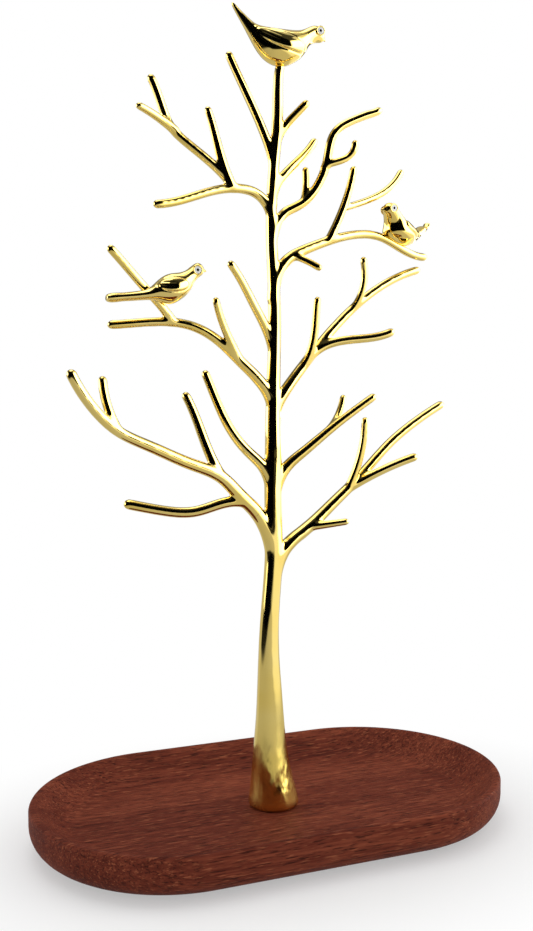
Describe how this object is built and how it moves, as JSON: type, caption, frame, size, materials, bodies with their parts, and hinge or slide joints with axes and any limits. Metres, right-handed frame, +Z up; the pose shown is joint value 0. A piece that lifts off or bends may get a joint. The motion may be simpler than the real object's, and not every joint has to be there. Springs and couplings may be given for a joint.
{
  "type": "jewelry rack",
  "caption": "Polished gold-coloured tree with forked limbs and perched birds for hanging necklaces, rings and earrings, standing on a slot-shaped dished hardwood tray.",
  "frame": {"origin": "on the ground plane, under the middle of the tray", "axes": "+Z up along the trunk, +X along the tray's length, -Y towards the front"},
  "size_m": [0.18, 0.1024, 0.2982],
  "materials": {
    "gold": "gold plated, mirror polished",
    "wood": "reddish hardwood, satin",
    "steel": "zinc plated",
    "pad": "matte"
  },
  "bodies": {
    "root": {"tray": "wood", "trunk": "gold", "left_crown_spike": "gold", "left_upper_limb": "gold", "left_middle_spike": "gold", "left_middle_limb": "gold", "left_lower_spike": "gold", "left_lower_limb": "gold", "right_crown_spike": "gold", "right_upper_spike": "gold", "right_upper_limb": "gold", "right_bird_limb": "gold", "right_middle_limb": "gold", "right_lower_fork": "gold", "right_lower_limb": "gold", "crown_bird": "gold", "left_bird": "gold", "right_bird": "gold", "crown_perch_pin": "steel", "left_perch_pin": "steel", "right_perch_pin": "steel", "base_screw": "steel", "flat_washer": "steel", "spring_washer": "steel", "pad_front_left": "pad", "pad_front_right": "pad", "pad_back_left": "pad", "pad_back_right": "pad"}
  },
  "joints": []
}
